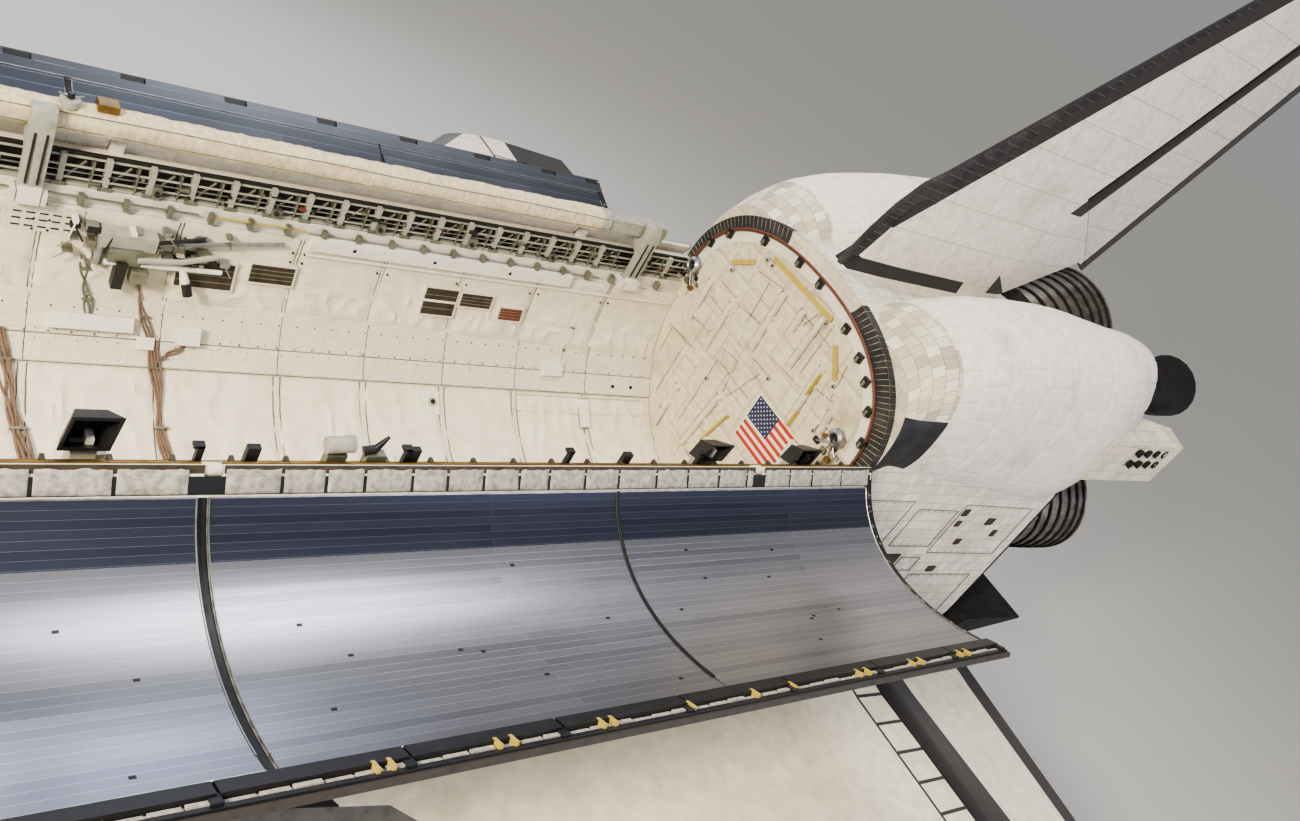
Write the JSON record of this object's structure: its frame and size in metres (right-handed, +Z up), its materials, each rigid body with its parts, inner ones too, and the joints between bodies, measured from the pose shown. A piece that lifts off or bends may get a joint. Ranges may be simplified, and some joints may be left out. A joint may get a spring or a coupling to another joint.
{
  "type": "winged space shuttle orbiter",
  "caption": "Winged space shuttle orbiter with its payload bay doors open, standing on its landing gear.",
  "frame": {"origin": "on the ground, under the middle of the bounding box", "axes": "+X aft, +Y to starboard, +Z up; the vehicle is pitched 3 degrees nose down, as it parks"},
  "size_m": [36.572, 23.7948, 17.2914],
  "materials": {
    "blanket": "quilted felt and glass-cloth insulation, matt",
    "white_tile": "coated silica tiles, matt",
    "black_tile": "coated silica tiles, satin black",
    "carbon": "coated carbon composite, matt grey",
    "liner": "quilted bay liner, matt",
    "radiator": "silvered film over aluminium panels",
    "metal": "machined aluminium and titanium",
    "bell": "heat-tinted nickel alloy tubes and hoops",
    "dark_bell": "coated niobium alloy, dark",
    "glass": "tempered silica glass",
    "tyre": "black aircraft tyres on grey rims",
    "cockpit": "grey painted panels and seats"
  },
  "bodies": {
    "airframe": {"nose_cap": "carbon", "forward_fuselage": "white_tile", "windshield": "glass", "overhead_windows": "glass", "flight_deck": "cockpit", "forward_bulkhead": "liner", "mid_fuselage": "white_tile", "starboard_side_wall": "liner", "port_side_wall": "liner", "port_longeron": "metal", "starboard_longeron": "metal", "aft_bulkhead": "blanket", "aft_fuselage": "white_tile", "base_heat_shield": "black_tile", "main_engine_upper": "bell", "main_engine_port": "bell", "main_engine_starboard": "bell", "starboard_pod": "blanket", "port_pod": "blanket", "starboard_pod_nozzle": "dark_bell", "port_pod_nozzle": "dark_bell", "starboard_wing": "white_tile", "port_wing": "white_tile", "starboard_leading_edge": "carbon", "port_leading_edge": "carbon", "vertical_fin": "blanket", "starboard_nose_gear_door": "white_tile", "port_nose_gear_door": "white_tile", "starboard_main_gear_door": "black_tile", "port_main_gear_door": "black_tile", "nose_gear_leg": "metal", "starboard_main_gear_leg": "metal", "port_main_gear_leg": "metal"},
    "port_door_body": {"port_door": "white_tile", "port_aft_radiator": "radiator"},
    "port_radiator_body": {"port_forward_radiator": "radiator"},
    "starboard_door_body": {"starboard_door": "white_tile", "starboard_aft_radiator": "radiator"},
    "starboard_radiator_body": {"starboard_forward_radiator": "radiator"},
    "boom_body": {"inspection_boom": "blanket", "boom_pedestal_forward": "metal", "boom_pedestal_middle": "metal", "boom_pedestal_aft": "metal"},
    "hatch_body": {"side_hatch": "white_tile"},
    "body_flap_body": {"body_flap": "black_tile"},
    "port_elevon_inboard_body": {"port_elevon_inboard": "white_tile"},
    "port_elevon_outboard_body": {"port_elevon_outboard": "white_tile"},
    "starboard_elevon_inboard_body": {"starboard_elevon_inboard": "white_tile"},
    "starboard_elevon_outboard_body": {"starboard_elevon_outboard": "white_tile"},
    "rudder_body": {"rudder_shaft": "metal"},
    "rudder_starboard_body": {"rudder_panel_starboard": "blanket"},
    "rudder_port_body": {"rudder_panel_port": "blanket"},
    "nose_steering_body": {"nose_gear_steering": "metal"},
    "nose_wheels_body": {"nose_wheels": "tyre"},
    "port_main_wheels_body": {"port_main_wheels": "tyre"},
    "starboard_main_wheels_body": {"starboard_main_wheels": "tyre"}
  },
  "joints": [
    {"name": "port_door_hinge", "type": "hinge", "parent": "airframe", "child": "port_door_body", "pos_m": [-0.42426, -2.68224, 6.52608], "axis": [0.9986, 0, 0.0523], "range_deg": [-149.3, 26.2]},
    {"name": "starboard_door_hinge", "type": "hinge", "parent": "airframe", "child": "starboard_door_body", "pos_m": [-0.42426, 2.68224, 6.52608], "axis": [-0.9986, 0, -0.0523], "range_deg": [-158.8, 16.7]},
    {"name": "port_radiator_hinge", "type": "hinge", "parent": "port_door_body", "child": "port_radiator_body", "pos_m": [-4.98375, -2.9103, 6.16751], "axis": [-0.9986, 0, -0.0523], "range_deg": [0, 35.5]},
    {"name": "starboard_radiator_hinge", "type": "hinge", "parent": "starboard_door_body", "child": "starboard_radiator_body", "pos_m": [-4.98186, 2.88746, 6.13156], "axis": [0.9986, 0, 0.0523], "range_deg": [0, 35.5]},
    {"name": "boom_roll", "type": "hinge", "parent": "airframe", "child": "boom_body", "pos_m": [-0.38983, 2.31648, 5.86912], "axis": [-0.9986, 0, -0.0523], "range_deg": [-31.4, 3.31]},
    {"name": "hatch_hinge", "type": "hinge", "parent": "airframe", "child": "hatch_body", "pos_m": [-11.77325, -2.56286, 3.22504], "axis": [0.9986, 0, 0.0523], "range_deg": [0, 90]},
    {"name": "body_flap_hinge", "type": "hinge", "parent": "airframe", "child": "body_flap_body", "pos_m": [14.66052, 0, 3.57772], "axis": [0, 1, 0], "range_deg": [-11.7, 22.5]},
    {"name": "port_elevon_inboard_hinge", "type": "hinge", "parent": "airframe", "child": "port_elevon_inboard_body", "pos_m": [10.97581, -5.50164, 3.51388], "axis": [0.0028, 0.9985, -0.0543], "range_deg": [-35, 20]},
    {"name": "port_elevon_outboard_hinge", "type": "hinge", "parent": "airframe", "child": "port_elevon_outboard_body", "pos_m": [10.96433, -9.525, 3.73285], "axis": [0.0028, 0.9985, -0.0543], "range_deg": [-35, 20]},
    {"name": "starboard_elevon_inboard_hinge", "type": "hinge", "parent": "airframe", "child": "starboard_elevon_inboard_body", "pos_m": [10.97581, 5.50164, 3.51388], "axis": [-0.0028, 0.9985, 0.0543], "range_deg": [-35, 20]},
    {"name": "starboard_elevon_outboard_hinge", "type": "hinge", "parent": "airframe", "child": "starboard_elevon_outboard_body", "pos_m": [10.96433, 9.525, 3.73285], "axis": [-0.0028, 0.9985, 0.0543], "range_deg": [-35, 20]},
    {"name": "rudder_hinge", "type": "hinge", "parent": "airframe", "child": "rudder_body", "pos_m": [15.03933, 0, 13.79695], "axis": [0.5273, 0, 0.8497], "range_deg": [-27.1, 27.1]},
    {"name": "rudder_starboard_hinge", "type": "hinge", "parent": "rudder_body", "child": "rudder_starboard_body", "pos_m": [15.03933, 0, 13.79695], "axis": [0.5273, 0, 0.8497], "range_deg": [0, 49.3]},
    {"name": "rudder_port_hinge", "type": "hinge", "parent": "rudder_body", "child": "rudder_port_body", "pos_m": [15.03933, 0, 13.79695], "axis": [-0.5273, 0, -0.8497], "range_deg": [0, 49.3]},
    {"name": "nose_steering", "type": "hinge", "parent": "airframe", "child": "nose_steering_body", "pos_m": [-14.53272, 0, 1.2297], "axis": [0, 0, 1], "range_deg": [-10, 10]},
    {"name": "nose_wheels_spin", "type": "hinge", "parent": "nose_steering_body", "child": "nose_wheels_body", "pos_m": [-14.53272, 0, 0.406], "axis": [0, 1, 0], "continuous": true},
    {"name": "port_main_wheels_spin", "type": "hinge", "parent": "airframe", "child": "port_main_wheels_body", "pos_m": [5.66949, -3.454, 0.565], "axis": [0, 1, 0], "continuous": true},
    {"name": "starboard_main_wheels_spin", "type": "hinge", "parent": "airframe", "child": "starboard_main_wheels_body", "pos_m": [5.66949, 3.454, 0.565], "axis": [0, 1, 0], "continuous": true}
  ],
  "couplings": [
    {"joint": "boom_roll", "follows": "starboard_door_hinge", "ratio": 0.19773}
  ]
}
